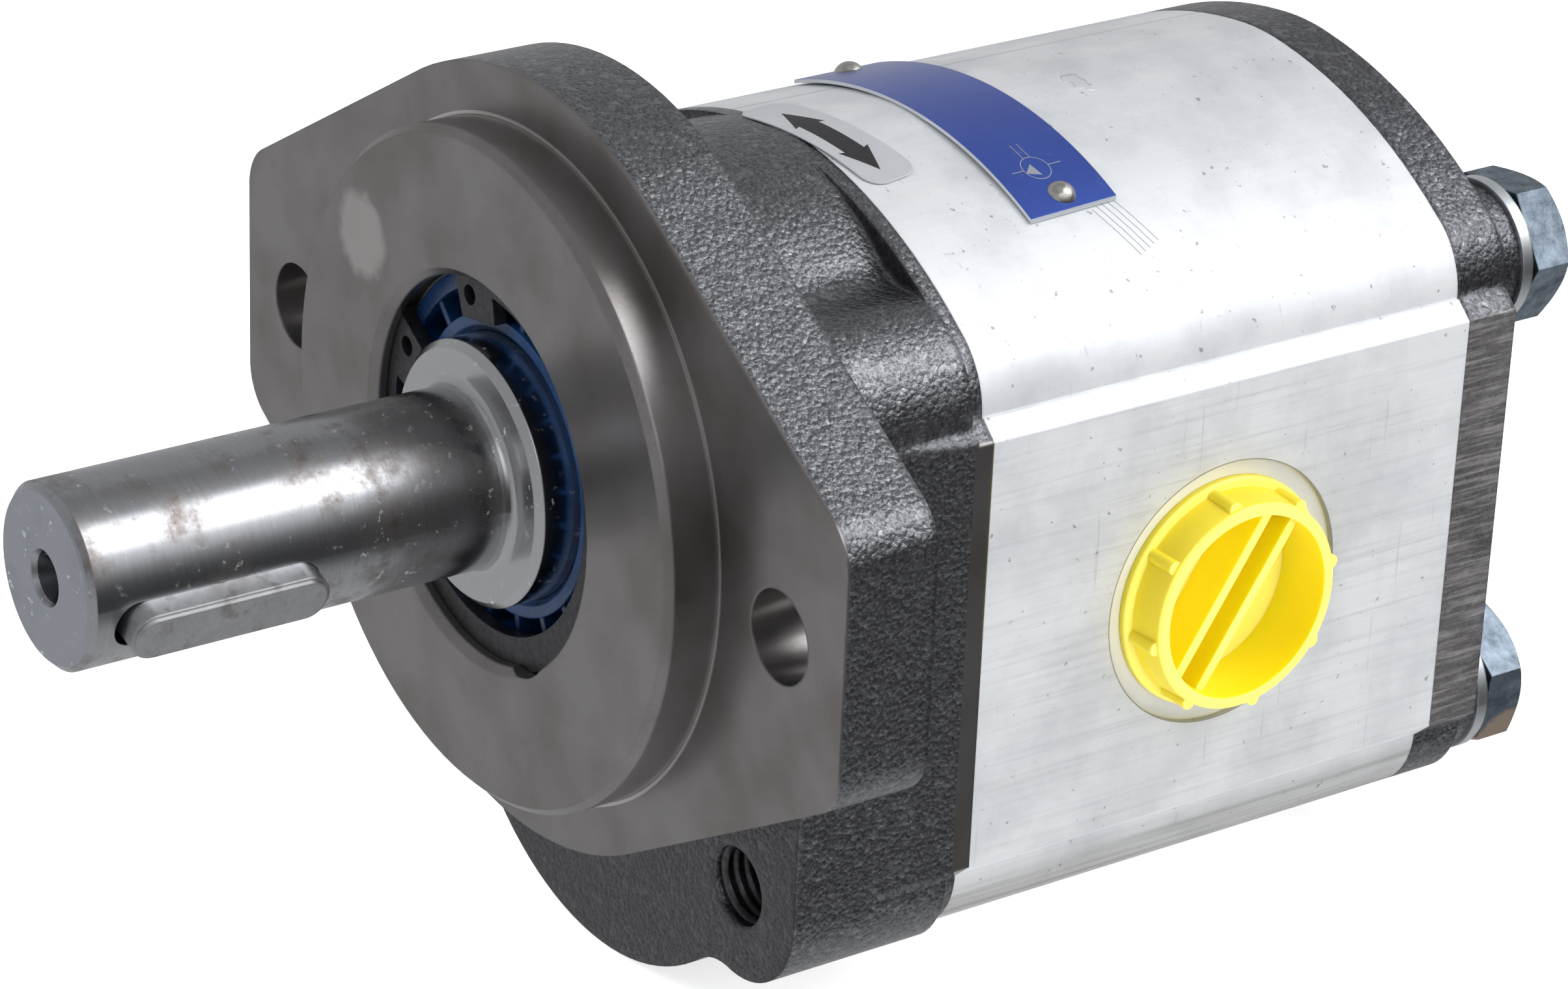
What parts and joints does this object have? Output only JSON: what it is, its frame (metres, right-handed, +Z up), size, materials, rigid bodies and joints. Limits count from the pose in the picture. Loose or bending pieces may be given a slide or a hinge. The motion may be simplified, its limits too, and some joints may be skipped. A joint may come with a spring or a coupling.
{
  "type": "hydraulic gear motor",
  "caption": "Hydraulic external gear motor with a two-bolt flange and pilot, a keyed shaft on an outboard bearing, capped side ports and a housing clamped by through bolts.",
  "frame": {"origin": "on the shaft's axis, in the plane of the mounting flange's front face", "axes": "+Y along the shaft axis from the shaft end towards the rear cover, +X towards the right-hand port as seen from the shaft end, +Z up, from the driven gear to the shaft"},
  "size_m": [0.131, 0.19, 0.1154],
  "materials": {
    "cast_iron": "rough cast skin with machined faces",
    "extruded_aluminium": "drawn, with brushed port faces",
    "block_aluminium": "machined",
    "shaft_steel": "ground",
    "key_steel": "drawn",
    "bearing_steel": "ground",
    "cage_steel": "pressed",
    "spring_steel": "phosphated",
    "bush_bronze": "bored",
    "blue_rubber": "moulded",
    "black_rubber": "moulded",
    "zinc_steel": "zinc plated",
    "washer_steel": "zinc plated, bright",
    "yellow_plastic": "moulded, slightly clear",
    "blue_anodised": "anodised sheet",
    "rivet_metal": "plain",
    "silver_film": "metallised film"
  },
  "bodies": {
    "motor": {"front_cover": "cast_iron", "gear_housing": "extruded_aluminium", "rear_cover": "cast_iron", "shaft_seal": "blue_rubber", "seal_spring": "spring_steel", "seal_ring": "spring_steel", "bearing_outer_ring": "bearing_steel", "front_bearing_block": "block_aluminium", "rear_bearing_block": "block_aluminium", "front_drive_bush": "bush_bronze", "front_driven_bush": "bush_bronze", "rear_drive_bush": "bush_bronze", "rear_driven_bush": "bush_bronze", "front_joint_seal": "black_rubber", "rear_joint_seal": "black_rubber", "front_block_seal": "black_rubber", "rear_block_seal": "black_rubber", "front_dowels": "bearing_steel", "rear_dowels": "bearing_steel", "clamp_bolts": "zinc_steel", "bolt_washers": "washer_steel", "right_port_plug": "yellow_plastic", "left_port_plug": "yellow_plastic", "drain_plug": "yellow_plastic", "name_plate": "blue_anodised", "plate_rivets": "rivet_metal", "direction_label": "silver_film"},
    "shaft": {"drive_shaft": "shaft_steel", "shaft_key": "key_steel", "drive_gear": "shaft_steel", "bearing_inner_ring": "bearing_steel", "shaft_clip": "spring_steel"},
    "driven": {"driven_gear": "shaft_steel"},
    "ball_set": {"bearing_balls": "bearing_steel", "bearing_cage": "cage_steel"}
  },
  "joints": [
    {"name": "shaft_spin", "type": "hinge", "parent": "motor", "child": "shaft", "pos_m": [0, 0, 0], "axis": [0, 1, 0], "continuous": true},
    {"name": "driven_spin", "type": "hinge", "parent": "motor", "child": "driven", "pos_m": [0, 0.0718, -0.0324], "axis": [0, 1, 0], "continuous": true},
    {"name": "ball_set_spin", "type": "hinge", "parent": "motor", "child": "ball_set", "pos_m": [0, 0.0098, 0], "axis": [0, 1, 0], "continuous": true}
  ],
  "couplings": [
    {"joint": "driven_spin", "follows": "shaft_spin", "ratio": -1},
    {"joint": "ball_set_spin", "follows": "shaft_spin", "ratio": 0.4382}
  ]
}
